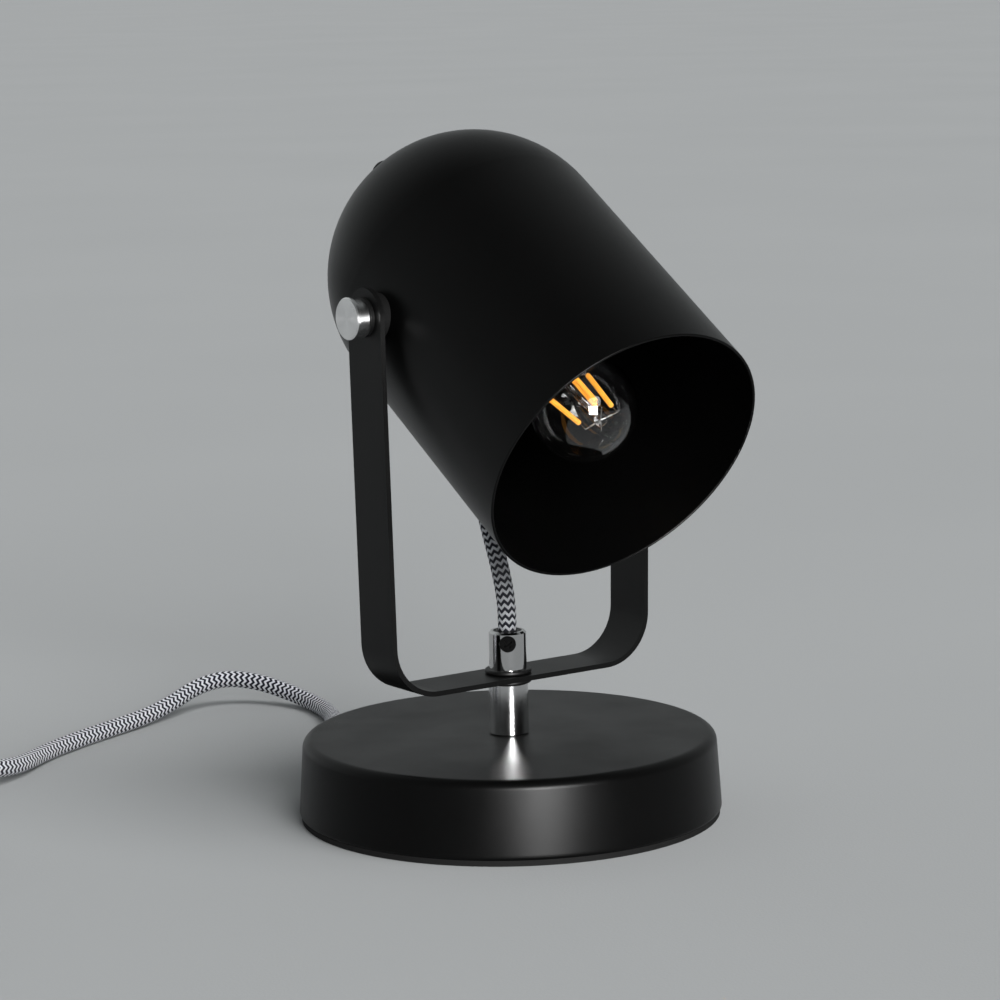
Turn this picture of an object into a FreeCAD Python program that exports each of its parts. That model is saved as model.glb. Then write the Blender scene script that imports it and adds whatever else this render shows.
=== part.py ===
import FreeCAD, Part
import math
import os

# Tabletop searchlight lamp. Millimetres, +Z up, origin at the centre of the underside of the foot pad.
# The shade looks along -Y and tilts about an axis along X. The mains cord leaves the base towards +Y.

Vector = FreeCAD.Vector
X_AXIS = Vector(1, 0, 0)
Y_AXIS = Vector(0, 1, 0)
Z_AXIS = Vector(0, 0, 1)

# Clearances
RUNNING = 0.05          # radial, a shaft that turns in its hole
SWIVEL_GAP = 0.1        # between flat faces that slide on each other
SIDE_GAP = 0.2          # between an ear and what turns beside it
LOOSE = 0.3             # around pieces that only pass by

# Base
base_d = 150.0
base_top_d = 147.5
base_h = 29.0
base_edge_r = 8.0
base_lip_r = 1.1
base_wall = 1.2
pad_t = 2.0
pad_inset = 0.7
plate_t = 1.5
weight_d = 126.0
weight_t = 13.8
weight_web = 4.0
weight_recess_d = 40.0
boss_d = 12.0
boss_circle_r = 48.0
plate_screw_count = 3
plate_screw_d = 4.0
plate_screw_head_d = 7.6
plate_screw_l = 11.0

# Threaded tube and post stack
nipple_d = 10.0
nipple_bore_d = 7.4
nipple_end = 0.8
nut_across = 14.0
nut_t = 3.0
post_d = 14.0
post_l = 18.5
post_chamfer = 0.4
washer_d = 16.5
lower_washer_t = 1.4
upper_washer_t = 1.5
grip_d = 13.3
grip_l = 13.6
grip_chamfer = 0.7
grub_d = 5.8
grub_drop = 3.8
grub_l = 2.2
grub_turn = 35.1
grub_slot = 0.9

# Yoke
strap_w = 20.0
strap_t = 1.8
yoke_inner = 109.9
yoke_splay = 1.8          # how much nearer each arm stands at its bend than at its ear
yoke_bend_r = 18.5
pivot_h = 181.5
pivot_above = 1.5         # pivot over the shade's axis, as posed

# Shade
tilt = 32.3
shade_d = 103.0
shade_wall = 1.0
dome_setback = 18.7
mouth_reach = 83.3
mouth_round_r = 0.3

# Pivots
stud_d = 5.0
stud_l = 14.0
spacer_d = 16.0
pivot_nut_d = 12.0
pivot_nut_t = 5.0
knob_d = 14.5
knob_l = 5.6
knob_waist_d = 12.2
knob_rim_t = 1.3
knob_chamfer = 0.4
knob_washer_d = 13.6
knob_washer_t = 1.3

# Lampholder and its bracket
holder_d = 27.0
holder_tail_d = 23.0
holder_l = 56.0
holder_front = 31.0
holder_wall = 1.6
holder_ribs = 24
sleeve_wall = 0.5
sleeve_l = 21.0
bracket_w = 14.0
bracket_t = 1.5
bracket_turn = 41.0
rivet_angle = 37.0
rivet_d = 3.2
rivet_head_d = 5.6
rivet_head_h = 0.8
locknut_d = 15.0
locknut_t = 3.5

# Bulb
globe_d = 37.0
globe_reach = 56.7
glass_wall = 0.7
neck_d = 13.0
neck_blend_r = 10.0
cap_d = 13.8
cap_l = 18.0
insulator_l = 2.3
contact_d = 5.0
contact_l = 2.5
bulb_l = 68.0
filament_d = 1.8
filament_l = 17.0
filament_count = 4
filament_tip_ring = 6.7    # distance of the outer rods' tips from the stem
filament_lean = 6.6
filament_turn = 21.9
filament_ahead = 4.0       # tips past the globe's centre
filament_gap = 0.4
wire_d = 0.5
tail_d = 0.3
stem_d = 2.1
stem_flare_l = 7.0
stem_lean = 5.5
star_d = 4.4
star_ahead = 2.8           # glass star past the rods' tips
arm_rise = 0.4

# Cord
cord_d = 6.5
cord_exit_z = 8.6
lead_bend_r = 10.4
bush_hole_d = 9.6
bush_flange_d = 12.0
bush_flange_t = 1.6
bush_seat = 0.6
bush_l = 22.0
bush_tip_wall = 0.9
clamp_y = 38.0
clamp_w = 10.0
clamp_t = 1.2
clamp_screw_d = 3.0
clamp_screw_l = 7.0
grommet_hole_d = 12.0
grommet_d = 16.0
grommet_flange_t = 1.6

# Coil of the spare cord, its middle on the floor plan
coil_middle = Vector(-225.0, 75.0, 0.0)
coil_outer_r = 45.0
coil_gap = 0.6
coil_layer_turns = 2.25
coil_climb_turns = 0.5
coil_layers = 2

# In-line switch, lying along X
switch_near = Vector(-150.0, 150.0, 0.0)
switch_l = 62.0
switch_w = 26.0
switch_end_w = 14.0
switch_half_h = 8.4
switch_seam = 0.3
switch_edge_r = 2.4
switch_socket_l = 4.0
switch_lead_l = 15.5
rocker_l = 19.0
rocker_w = 11.0
rocker_rise = 2.2
rocker_tilt = 7.0
rocker_pin_drop = 1.5
rocker_pin_d = 2.4
rocker_pin_l = 1.5
rocker_depth = 5.0

# Plug, lying along Y
plug_rear = Vector(-262.0, 4.0, 0.0)
plug_w = 35.3
plug_t = 13.7
plug_l = 22.0
plug_neck_l = 20.0
plug_neck_d = 12.5
plug_pin_d = 4.0
plug_pin_sleeve_d = 3.6
plug_pin_root_d = 3.2
plug_pin_root_l = 7.0
plug_pin_l = 19.0
plug_pin_bare = 9.0
plug_pin_pitch = 18.6

# Worked out from the sizes above
cord_r = cord_d / 2
shade_r = shade_d / 2
shade_inner_r = shade_r - shade_wall
base_inside_z = base_h - base_wall
weight_z = base_inside_z - weight_t
recess_z = base_inside_z - weight_web
nipple_z = recess_z - nut_t - nipple_end
post_z = base_h
lower_washer_z = post_z + post_l
strap_z = lower_washer_z + lower_washer_t + SWIVEL_GAP
upper_washer_z = strap_z + strap_t + SWIVEL_GAP
grip_z = upper_washer_z + upper_washer_t
grip_top = grip_z + grip_l
grip_seat = grub_drop + grub_d / 2 + LOOSE
nipple_top = grip_top - grip_seat
ear_inner = yoke_inner / 2
ear_outer = ear_inner + strap_t
dome_z = -dome_setback
globe_r = globe_d / 2
bulb_rear = globe_reach + globe_r - bulb_l
cap_z = bulb_rear + contact_l + insulator_l
holder_z = holder_front - holder_l
shade_axis_z = pivot_h - pivot_above
head_frame = FreeCAD.Placement(Vector(0, 0, shade_axis_z), FreeCAD.Rotation(X_AXIS, 90 + tilt))
pivot_in_head = head_frame.inverse().multVec(Vector(0, 0, pivot_h))

# The riser's way in the plane x = 0: y, and the share of the height from the grip up to the shade's underside
riser_way = [(0.0, 0.104), (1.2, 0.224), (4.4, 0.376), (9.0, 0.5408), (13.2, 0.704), (16.3, 0.856)]
riser_end = (18.1, 1.0336)

# The lead inside the shade, (across, along) in the head's own frame
head_way = [(-38.0, -4.0), (-30.5, -22.0), (-28.0, -51.0), (0.0, -51.0)]

# The mains cord on the table: from the base to the switch, to the coil and to the plug
mains_way = [
    (0.0, 108.5, 8.6),
    (2.2, 120.5, 6.8),
    (7.6, 131.5, 4.4),
    (15.2, 142.0, 3.3),
    (23.5, 153.5, 3.25),
    (30.0, 167.5, 3.25),
    (33.8, 184.0, 3.3),
    (31.8, 199.0, 5.4),
    (24.4, 211.2, 9.0),
    (12.2, 218.0, 11.2),
    (-2.2, 217.6, 9.2),
    (-15.5, 212.2, 5.8),
    (-30.5, 206.0, 3.7),
    (-49.0, 198.5, 3.25),
    (-71.0, 189.0, 3.25),
    (-93.0, 177.0, 3.25),
    (-114.5, 158.0, 4.6),
]
switch_way = [
    (-242.0, 147.0, 5.4),
    (-255.5, 138.5, 3.6),
    (-264.0, 124.5, 3.25),
    (-269.5, 109.0, 3.25),
]
plug_way = [
    (-269.0, 43.0, 9.2),
    (-265.0, 30.0, 7.6),
    (-262.0, 17.0, 6.85),
]
coil_run = 12.0


def disc(radius, height, z=0.0):
    """A cylinder standing on the plane z."""
    return Part.makeCylinder(radius, height, Vector(0, 0, z))


def ring(outer, inner, height, z=0.0):
    """A flat ring or tube."""
    return disc(outer, height, z).cut(disc(inner, height + 2, z - 1))


def outline(start, *steps):
    """Closed face in the XZ plane. A step is a point, or a pair (point on the arc, end of the arc)."""
    edges = []
    here = Vector(start[0], 0, start[1])
    for step in steps + (start,):
        if isinstance(step[0], tuple):
            middle = Vector(step[0][0], 0, step[0][1])
            there = Vector(step[1][0], 0, step[1][1])
            edges.append(Part.Arc(here, middle, there).toShape())
        else:
            there = Vector(step[0], 0, step[1])
            if there.distanceToPoint(here) > 1e-6:
                edges.append(Part.LineSegment(here, there).toShape())
        here = there
    return Part.Face(Part.Wire(edges))


def turned(face):
    """A profile in the XZ plane turned round the Z axis."""
    return face.revolve(Vector(), Z_AXIS, 360)


def along_x(shape, side=1):
    """Lays a piece made along +Z along +X, or along -X for the left side."""
    return shape.copy().rotate(Vector(), Y_AXIS, 90 * side)


def in_head(shape):
    """Moves a piece from the head's own frame to its place at rest."""
    placed = shape.copy()
    placed.Placement = head_frame.multiply(placed.Placement)
    return placed


def rounded_route(points, share=0.45):
    """Straight runs joined by tangent arcs, each as large as its two runs allow."""
    edges = []
    radii = []
    here = points[0]
    for before, corner, after in zip(points, points[1:], points[2:]):
        back = before - corner
        ahead = after - corner
        shorter = min(back.Length, ahead.Length)
        turn = math.pi - back.getAngle(ahead)
        reach = share * shorter
        back.normalize()
        ahead.normalize()
        start = corner + back * reach
        end = corner + ahead * reach
        radius = reach / math.tan(turn / 2)
        inward = back + ahead
        inward.normalize()
        middle = corner + inward * (math.hypot(radius, reach) - radius)
        edges.append(Part.LineSegment(here, start).toShape())
        edges.append(Part.Arc(start, middle, end).toShape())
        radii.append(round(radius, 1))
        here = end
    edges.append(Part.LineSegment(here, points[-1]).toShape())
    return edges, radii


def swept(name, edges, radius):
    """A round tube along the edges, its volume compared with its section times its length."""
    path = Part.Wire(edges)
    start = edges[0].firstVertex().Point
    heading = edges[0].tangentAt(edges[0].FirstParameter)
    section = Part.Wire(Part.makeCircle(radius, start, heading))
    tube = path.makePipeShell([section], True, False)
    expected = math.pi * radius ** 2 * path.Length
    print(f"{name}: length {path.Length:.1f} mm, volume / expected {tube.Volume / expected:.5f}")
    return tube


def cord(name, points):
    """A plain cord of the lamp's own cord size."""
    edges, radii = rounded_route([Vector(*p) for p in points])
    print(f"{name}: radii {radii}")
    return swept(name, edges, cord_r)


# Base


def foot_pad():
    return disc(base_d / 2 - pad_inset, pad_t)


def base_cover():
    return base_shell().cut(disc(nipple_d / 2 + RUNNING, base_h)).cut(bush_hole())


def base_shell():
    """Pressed cover, open below, before its holes are made."""
    height = base_h - pad_t
    outer = Part.makeCone(base_d / 2, base_top_d / 2, height, Vector(0, 0, pad_t))
    outer = outer.makeFillet(base_edge_r, [top_edge(outer)])
    outer = outer.makeFillet(base_lip_r, [bottom_edge(outer)])
    below = Vector(0, 0, pad_t - base_wall)
    inner = Part.makeCone(base_d / 2 - base_wall, base_top_d / 2 - base_wall, height, below)
    inner = inner.makeFillet(base_edge_r - base_wall, [top_edge(inner)])
    return outer.cut(inner)


def top_edge(shape):
    return max(shape.Edges, key=lambda edge: edge.CenterOfMass.z)


def bottom_edge(shape):
    return min(shape.Edges, key=lambda edge: edge.CenterOfMass.z)


def bush_hole():
    return Part.makeCylinder(bush_hole_d / 2, base_d / 2, Vector(0, base_d / 4, cord_exit_z), Y_AXIS)


def plate_screw_places():
    for i in range(plate_screw_count):
        angle = math.radians(30 + 360 * i / plate_screw_count)
        yield Vector(boss_circle_r * math.cos(angle), boss_circle_r * math.sin(angle), 0)


def base_plate():
    plate = disc(base_d / 2 - base_wall - LOOSE, plate_t, pad_t)
    for place in plate_screw_places():
        plate = plate.cut(plate_screw(LOOSE).translate(place))
    return plate


def plate_screw(extra=0.0):
    """Countersunk screw, head flush with the plate's underside. extra widens it to make its hole."""
    head_r = plate_screw_head_d / 2 + extra
    shank_r = plate_screw_d / 2 + extra
    head = Part.makeCone(head_r, shank_r, plate_t, Vector(0, 0, pad_t))
    screw = head.fuse(disc(shank_r, plate_screw_l, pad_t))
    if extra:
        return screw
    recess = cross_recess(plate_screw_head_d * 0.55, 1.0, 0.9)
    return screw.cut(recess.translate(Vector(0, 0, pad_t - 0.01)))


def cross_recess(size, width, depth):
    """Two crossed slots cut upwards from z = 0."""
    bar = Part.makeBox(size, width, depth, Vector(-size / 2, -width / 2, 0))
    return bar.fuse(bar.copy().rotate(Vector(), Z_AXIS, 90))


def base_weight():
    weight = disc(weight_d / 2, weight_t, weight_z)
    weight = weight.makeChamfer(1.5, [bottom_edge(weight)])
    weight = weight.cut(disc(weight_recess_d / 2, weight_t - weight_web, weight_z))
    weight = weight.cut(disc(nipple_d / 2 + RUNNING, base_h))
    for place in plate_screw_places():
        boss = disc(boss_d / 2, weight_z - pad_t - plate_t, pad_t + plate_t).translate(place)
        hole = disc(plate_screw_d / 2 + RUNNING, plate_screw_l + LOOSE, pad_t).translate(place)
        weight = weight.fuse(boss).cut(hole)
    for side in (-1, 1):
        hole = disc(clamp_screw_d / 2 + RUNNING, clamp_screw_l, weight_z)
        weight = weight.cut(hole.translate(Vector(side * clamp_screw_x(), clamp_y, 0)))
    return weight


# Threaded tube, post and cord grip


def nipple():
    return ring(nipple_d / 2, nipple_bore_d / 2, nipple_top - nipple_z, nipple_z)


def hexagon(across, height, z):
    """Hexagonal prism with its corners turned down."""
    corner = across / math.sqrt(3)
    angles = [math.radians(60 * i) for i in range(7)]
    points = [Vector(corner * math.cos(angle), corner * math.sin(angle), z) for angle in angles]
    prism = Part.Face(Part.makePolygon(points)).extrude(Vector(0, 0, height))
    rounding = disc(corner * 0.97, height, z)
    return prism.common(rounding)


def hex_nut():
    z = recess_z - nut_t
    return hexagon(nut_across, nut_t, z).cut(disc(nipple_d / 2 + RUNNING, nut_t + 2, z - 1))


def post():
    tube = disc(post_d / 2, post_l, post_z)
    tube = tube.makeChamfer(post_chamfer, [top_edge(tube), bottom_edge(tube)])
    return tube.cut(disc(nipple_d / 2 + RUNNING, post_l + 2, post_z - 1))


def swivel_washer(thickness, z):
    """Black washer with a rounded rim."""
    washer = disc(washer_d / 2, thickness, z)
    washer = washer.makeFillet(thickness * 0.4, [top_edge(washer), bottom_edge(washer)])
    return washer.cut(disc(nipple_d / 2 + RUNNING, thickness + 2, z - 1))


def cord_grip():
    grip = disc(grip_d / 2, grip_l, grip_z)
    grip = grip.makeChamfer(grip_chamfer, [top_edge(grip)])
    grip = grip.cut(disc(nipple_d / 2 + RUNNING, grip_l + 2, grip_z - 1))
    return grip.cut(grub_hole())


def grub_heading():
    return Vector(-math.sin(math.radians(grub_turn)), -math.cos(math.radians(grub_turn)), 0)


def grub_foot():
    return grub_heading() * (grip_d / 2 - 0.1 - grub_l) + Vector(0, 0, grip_top - grub_drop)


def grub_hole():
    return Part.makeCylinder(grub_d / 2 + RUNNING, grip_d, grub_foot(), grub_heading())


def grub_screw():
    screw = Part.makeCylinder(grub_d / 2, grub_l, Vector(), Z_AXIS)
    recess = cross_recess(grub_d * 0.6, grub_slot, grub_slot + 0.01)
    screw = screw.cut(recess.translate(Vector(0, 0, grub_l - grub_slot)))
    screw.Placement = FreeCAD.Placement(grub_foot(), FreeCAD.Rotation(Z_AXIS, grub_heading()))
    return screw


def grip_bush():
    """Plastic sleeve between the grip and the cord."""
    height = grip_seat - LOOSE
    bush = ring(nipple_d / 2, cord_r + RUNNING, height, nipple_top)
    return bush.cut(grub_hole())


# Cord inside the base


def inner_lead():
    """From the tip of the strain relief, under the weight, up the threaded tube to the top of the grip."""
    turn = lead_bend_r
    outside = Vector(0, bush_tip_y(), cord_exit_z)
    before = Vector(0, turn, cord_exit_z)
    after = Vector(0, 0, cord_exit_z + turn)
    middle = Vector(0, turn * (1 - math.sin(math.pi / 4)), cord_exit_z + turn * (1 - math.cos(math.pi / 4)))
    top = Vector(0, 0, grip_top)
    edges = [Part.LineSegment(outside, before).toShape(), Part.Arc(before, middle, after).toShape()]
    edges.append(Part.LineSegment(after, top).toShape())
    return swept("inner_lead", edges, cord_r)


def bush_wall_y():
    """Where the strain relief meets the outside of the base wall."""
    return base_d / 2 - (base_d - base_top_d) / 2 * (cord_exit_z - pad_t) / (base_h - pad_t)


def bush_tip_y():
    return bush_wall_y() + bush_l


def cord_bush():
    """Strain relief: two flanges that fit the curved wall from both sides, and a taper outside."""
    wall = bush_wall_y()
    neck = bush_hole_d / 2
    flange = bush_flange_d / 2
    inner = wall - base_wall
    profile = outline(
        (cord_r + RUNNING, inner - bush_flange_t),
        (flange, inner - bush_flange_t),
        (flange, inner + bush_seat),
        (neck - RUNNING, inner + bush_seat),
        (neck - RUNNING, wall - bush_seat),
        (flange, wall - bush_seat),
        (flange, wall + bush_flange_t - 0.4),
        (flange - 0.4, wall + bush_flange_t),
        (neck + 0.4, wall + bush_flange_t + 0.6),
        (cord_r + bush_tip_wall, bush_tip_y()),
        (cord_r + RUNNING, bush_tip_y()),
    )
    bush = turned(profile).rotate(Vector(), X_AXIS, -90).translate(Vector(0, 0, cord_exit_z))
    plate_room = disc(base_d / 2 - base_wall - RUNNING, plate_t + RUNNING, pad_t)
    return bush.cut(base_cover()).cut(plate_room)


def clamp_screw_x():
    return cord_r + clamp_t + 0.3 + clamp_screw_d


def cord_clamp():
    """Saddle that holds the lead up to the underside of the weight."""
    inside = cord_r + SWIVEL_GAP
    outside = inside + clamp_t
    ear = clamp_screw_x() + clamp_screw_d
    top = weight_z
    z = cord_exit_z
    profile = outline(
        (-ear, top),
        (-ear, top - clamp_t),
        (-outside, top - clamp_t),
        (-outside, z),
        ((0, z - outside), (outside, z)),
        (outside, top - clamp_t),
        (ear, top - clamp_t),
        (ear, top),
        (inside, top),
        (inside, z),
        ((0, z - inside), (-inside, z)),
        (-inside, top),
    )
    clamp = profile.extrude(Vector(0, clamp_w, 0)).translate(Vector(0, clamp_y - clamp_w / 2, 0))
    for side in (-1, 1):
        hole = disc(clamp_screw_d / 2 + LOOSE, weight_z)
        clamp = clamp.cut(hole.translate(Vector(side * clamp_screw_x(), clamp_y, 0)))
    return clamp


def clamp_screw(side):
    head_h = 1.4
    seat = weight_z - clamp_t
    shank = disc(clamp_screw_d / 2, clamp_screw_l, seat)
    head = disc(clamp_screw_d * 0.9, head_h, seat - head_h)
    screw = shank.fuse(head).cut(cross_recess(clamp_screw_d, 0.7, 0.8).translate(Vector(0, 0, seat - head_h)))
    return screw.translate(Vector(side * clamp_screw_x(), clamp_y, 0))


# Yoke


def yoke():
    """Flat strap bent to a U: arms that splay a little, then upright ears rounded about the pivot."""
    outer = ear_outer
    inner = ear_inner
    outer_foot = outer - yoke_splay
    inner_foot = inner - yoke_splay
    ear_z = pivot_h - 0.75 * strap_w
    bend = yoke_bend_r
    inside = bend - strap_t
    top = pivot_h + strap_w / 2
    floor = strap_z + strap_t
    near = 1 - math.sqrt(0.5)
    profile = outline(
        (-outer, top),
        (-outer, ear_z),
        (-outer_foot, strap_z + bend),
        ((-outer_foot + bend * near, strap_z + bend * near), (-outer_foot + bend, strap_z)),
        (outer_foot - bend, strap_z),
        ((outer_foot - bend * near, strap_z + bend * near), (outer_foot, strap_z + bend)),
        (outer, ear_z),
        (outer, top),
        (inner, top),
        (inner, ear_z),
        (inner_foot, floor + inside),
        ((inner_foot - inside * near, floor + inside * near), (inner_foot - inside, floor)),
        (-inner_foot + inside, floor),
        ((-inner_foot + inside * near, floor + inside * near), (-inner_foot, floor + inside)),
        (-inner, ear_z),
        (-inner, top),
    )
    strap = profile.extrude(Vector(0, strap_w, 0)).translate(Vector(0, -strap_w / 2, 0))
    below = Part.makeBox(2 * outer + 2, strap_w, pivot_h, Vector(-outer - 1, -strap_w / 2, 0))
    ears = Part.makeCylinder(strap_w / 2, 2 * outer + 2, Vector(-outer - 1, 0, pivot_h), X_AXIS)
    strap = strap.common(below.fuse(ears))
    strap = strap.cut(disc(nipple_d / 2 + RUNNING, 4 * strap_t, strap_z - strap_t))
    pivot = Part.makeCylinder(stud_d / 2 + RUNNING, 2 * outer + 2, Vector(-outer - 1, 0, pivot_h), X_AXIS)
    return strap.cut(pivot)


def riser_cord():
    points = [Vector(0, 0, grip_top)]
    points += [riser_point(*place) for place in riser_way]
    edges, radii = rounded_route(points + [riser_corner()])
    print(f"riser_cord: radii {radii}")
    last = edges.pop()
    edges.append(Part.LineSegment(last.firstVertex().Point, riser_stop()).toShape())
    return swept("riser_cord", edges, cord_r)


def riser_point(y, share):
    return Vector(0, y, grip_top + share * (shade_axis_z - shade_r - grip_top))


def riser_corner():
    return riser_point(*riser_end)


def riser_heading():
    heading = riser_corner() - riser_point(*riser_way[-1])
    return heading.normalize()


def riser_in_head():
    """A point and the heading of the riser's last run, in the head's own frame."""
    back = head_frame.inverse()
    point = back.multVec(riser_corner())
    heading = back.Rotation.multVec(riser_heading())
    return point, heading


def wall_crossing(radius):
    """Where the riser's last run crosses a given distance from the shade's axis, in the head's own frame."""
    point, heading = riser_in_head()
    return point + heading * ((-radius - point.y) / heading.y)


def riser_stop():
    """The riser ends where its last run reaches the outer face of the grommet."""
    return head_frame.multVec(wall_crossing(shade_r + grommet_flange_t))


# Head


def shell_profile(radius):
    """Half section of a dome and straight tube of the given radius, closed on the axis."""
    slant = radius * math.sqrt(0.5)
    return outline(
        (0, dome_z - radius),
        ((slant, dome_z - slant), (radius, dome_z)),
        (radius, mouth_reach),
        (0, mouth_reach),
    )


def shade():
    outer = turned(shell_profile(shade_r))
    inner = turned(shell_profile(shade_inner_r)).fuse(disc(shade_inner_r, 2, mouth_reach - 1))
    body = outer.cut(inner)
    body = body.makeFillet(mouth_round_r, level_edges(body, mouth_reach))
    body = body.cut(pivot_bore(shade_d))
    body = body.cut(grommet_plug(grommet_hole_d, shade_r + 5, shade_inner_r - 5))
    for sign in (-1, 1):
        body = body.cut(rivet_bore(sign))
    return body


def pivot_bore(length):
    return Part.makeCylinder(stud_d / 2 + RUNNING, length, pivot_in_head - X_AXIS * (length / 2), X_AXIS)


def grommet_plug(diameter, low, high):
    """Plain cylinder through the underside of the shade, square to its wall."""
    centre = wall_crossing((shade_r + shade_inner_r) / 2)
    return Part.makeCylinder(diameter / 2, low - high, Vector(0, -low, centre.z), Y_AXIS)


def shade_grommet():
    """Rubber grommet, grooved for the wall and bored along the cord."""
    body = grommet_plug(grommet_d, shade_r + grommet_flange_t, shade_inner_r - grommet_flange_t)
    low = wall_crossing(shade_r).z - grommet_d
    wall = ring(shade_r, shade_inner_r, 2 * grommet_d, low)
    groove = wall.cut(grommet_plug(grommet_hole_d - 0.1, shade_r + 5, shade_inner_r - 5))
    point, heading = riser_in_head()
    bore = Part.makeCylinder(cord_r + RUNNING, shade_d, point - heading * shade_r, heading)
    return body.cut(groove).cut(bore)


def head_lead():
    """From the grommet, round inside the dome, into the nipple behind the lampholder."""
    start = wall_crossing(shade_r + grommet_flange_t)
    points = [start] + [Vector(0, across, z) for across, z in head_way]
    first = start + riser_in_head()[1] * 12
    points.insert(1, first)
    points.append(Vector(0, 0, holder_z + 3))
    edges, radii = rounded_route(points)
    print(f"head_lead: radii {radii}")
    return swept("head_lead", edges, cord_r)


def pivot_spacer(side):
    """Black spacer between the ear and the shade, hollowed to sit on the tube."""
    spacer = disc(spacer_d / 2, ear_inner - SIDE_GAP - shade_inner_r, shade_inner_r)
    spacer = spacer.cut(disc(stud_d / 2 + RUNNING, shade_r, shade_inner_r - 1))
    return along_x(spacer, side).translate(pivot_in_head).cut(disc(shade_r, shade_d, -shade_r))


def pivot_nut(side):
    """Round nut welded inside the shade."""
    nut = disc(pivot_nut_d / 2, pivot_nut_t, shade_inner_r - pivot_nut_t)
    nut = nut.cut(disc(stud_d / 2 + RUNNING, pivot_nut_t + 2, shade_inner_r - pivot_nut_t - 1))
    return along_x(nut, side).translate(pivot_in_head).common(disc(shade_inner_r, shade_d, -shade_r))


def knob(side):
    """Thumb screw: a flat face with a turned-down edge, a fine groove, a plain waist and its stud."""
    seat = ear_outer + SIDE_GAP / 2 + knob_washer_t
    rim = seat + knob_l - knob_rim_t
    face = seat + knob_l
    rim_r = knob_d / 2
    waist = knob_waist_d / 2
    groove = waist - 0.5
    tip = seat - stud_l
    profile = outline(
        (0, tip),
        (stud_d / 2 - 0.4, tip),
        (stud_d / 2, tip + 0.4),
        (stud_d / 2, seat),
        (waist - 0.3, seat),
        (waist, seat + 0.3),
        (waist, rim - 0.5),
        (groove, rim - 0.5),
        (groove, rim),
        (rim_r, rim),
        (rim_r, face - knob_chamfer),
        (rim_r - knob_chamfer, face),
        (0, face),
    )
    return along_x(turned(profile), side).translate(Vector(0, 0, pivot_h))


def knob_washer(side):
    z = ear_outer + SIDE_GAP / 2
    washer = ring(knob_washer_d / 2, stud_d / 2 + RUNNING, knob_washer_t, z)
    return along_x(washer, side).translate(Vector(0, 0, pivot_h))


# Lampholder


def holder_bracket():
    """Strap bent to a hat: its feet lie inside the dome and its crown carries the lampholder."""
    t = bracket_t
    foot = math.radians(rivet_angle)
    foot_r = shade_inner_r * math.sin(foot)
    foot_z = dome_z - shade_inner_r * math.cos(foot)
    reach = bracket_w * 0.36
    heel = foot_r - reach
    heel_z = foot_z - reach * math.tan(foot)
    toe = foot_r + reach
    crown = holder_tail_d / 2 + 1.0
    profile = outline(
        (-crown, holder_z),
        (-heel - 0.2, heel_z + 3 * t),
        (-heel - 0.2, heel_z + 0.6 * t),
        (-heel + t, heel_z + 0.6 * t),
        (-crown + t, holder_z - t),
        (crown - t, holder_z - t),
        (heel - t, heel_z + 0.6 * t),
        (heel + 0.2, heel_z + 0.6 * t),
        (heel + 0.2, heel_z + 3 * t),
        (crown, holder_z),
    )
    hat = profile.extrude(Vector(0, bracket_w, 0)).translate(Vector(0, -bracket_w / 2, 0))
    dome = Part.makeSphere(shade_inner_r, Vector(0, 0, dome_z))
    skin = dome.cut(Part.makeSphere(shade_inner_r - t, Vector(0, 0, dome_z)))
    feet = skin.common(foot_block(toe)).cut(foot_block(heel))
    strap = hat.common(dome).fuse(feet).removeSplitter()
    strap = strap.cut(disc(nipple_d / 2 + RUNNING, 4 * t, holder_z - 2 * t))
    strap = strap.rotate(Vector(), Z_AXIS, 180 - bracket_turn)
    for sign in (-1, 1):
        strap = strap.cut(rivet_bore(sign))
    return strap


def foot_block(reach):
    """Block as wide as the strap, out to a given reach on both sides, through the rear of the dome."""
    corner = Vector(-reach, -bracket_w / 2, dome_z - shade_r)
    return Part.makeBox(2 * reach, bracket_w, shade_r, corner)


def rivet_heading(sign):
    """Outward normal of the dome at a rivet."""
    turn = math.radians(180 - bracket_turn)
    lean = math.radians(rivet_angle)
    across = math.sin(lean)
    return Vector(sign * math.cos(turn) * across, sign * math.sin(turn) * across, -math.cos(lean))


def rivet_bore(sign):
    start = Vector(0, 0, dome_z) + rivet_heading(sign) * (shade_inner_r - 6)
    return Part.makeCylinder(rivet_d / 2 + RUNNING, 12, start, rivet_heading(sign))


def bracket_rivet(sign):
    """Domed head outside the shade, shank through both walls, a flat set head inside."""
    inside = shade_inner_r - bracket_t
    head_r = rivet_head_d / 2
    crown_r = (head_r ** 2 + rivet_head_h ** 2) / (2 * rivet_head_h)
    shank = disc(rivet_d / 2, shade_r - inside + 0.4, inside - 0.2)
    cap = Part.makeSphere(crown_r, Vector(0, 0, shade_r + rivet_head_h - crown_r))
    cap = cap.common(disc(head_r + 1, 2 * crown_r, shade_r - 0.2)).cut(Part.makeSphere(shade_r))
    tail = disc(rivet_d * 0.8, 0.8, inside - 0.8).common(Part.makeSphere(inside)).fuse(shank)
    rivet = cap.common(disc(head_r, 4, shade_r - 2)).fuse(tail)
    rivet.Placement = FreeCAD.Placement(Vector(0, 0, dome_z), FreeCAD.Rotation(Z_AXIS, rivet_heading(sign)))
    return rivet


def holder_nipple():
    return ring(nipple_d / 2, nipple_bore_d / 2, 16.0, holder_z - 10.0)


def holder_locknut():
    z = holder_z - bracket_t - locknut_t
    return hexagon(locknut_d, locknut_t, z).cut(disc(nipple_d / 2 + RUNNING, locknut_t + 2, z - 1))


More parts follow.
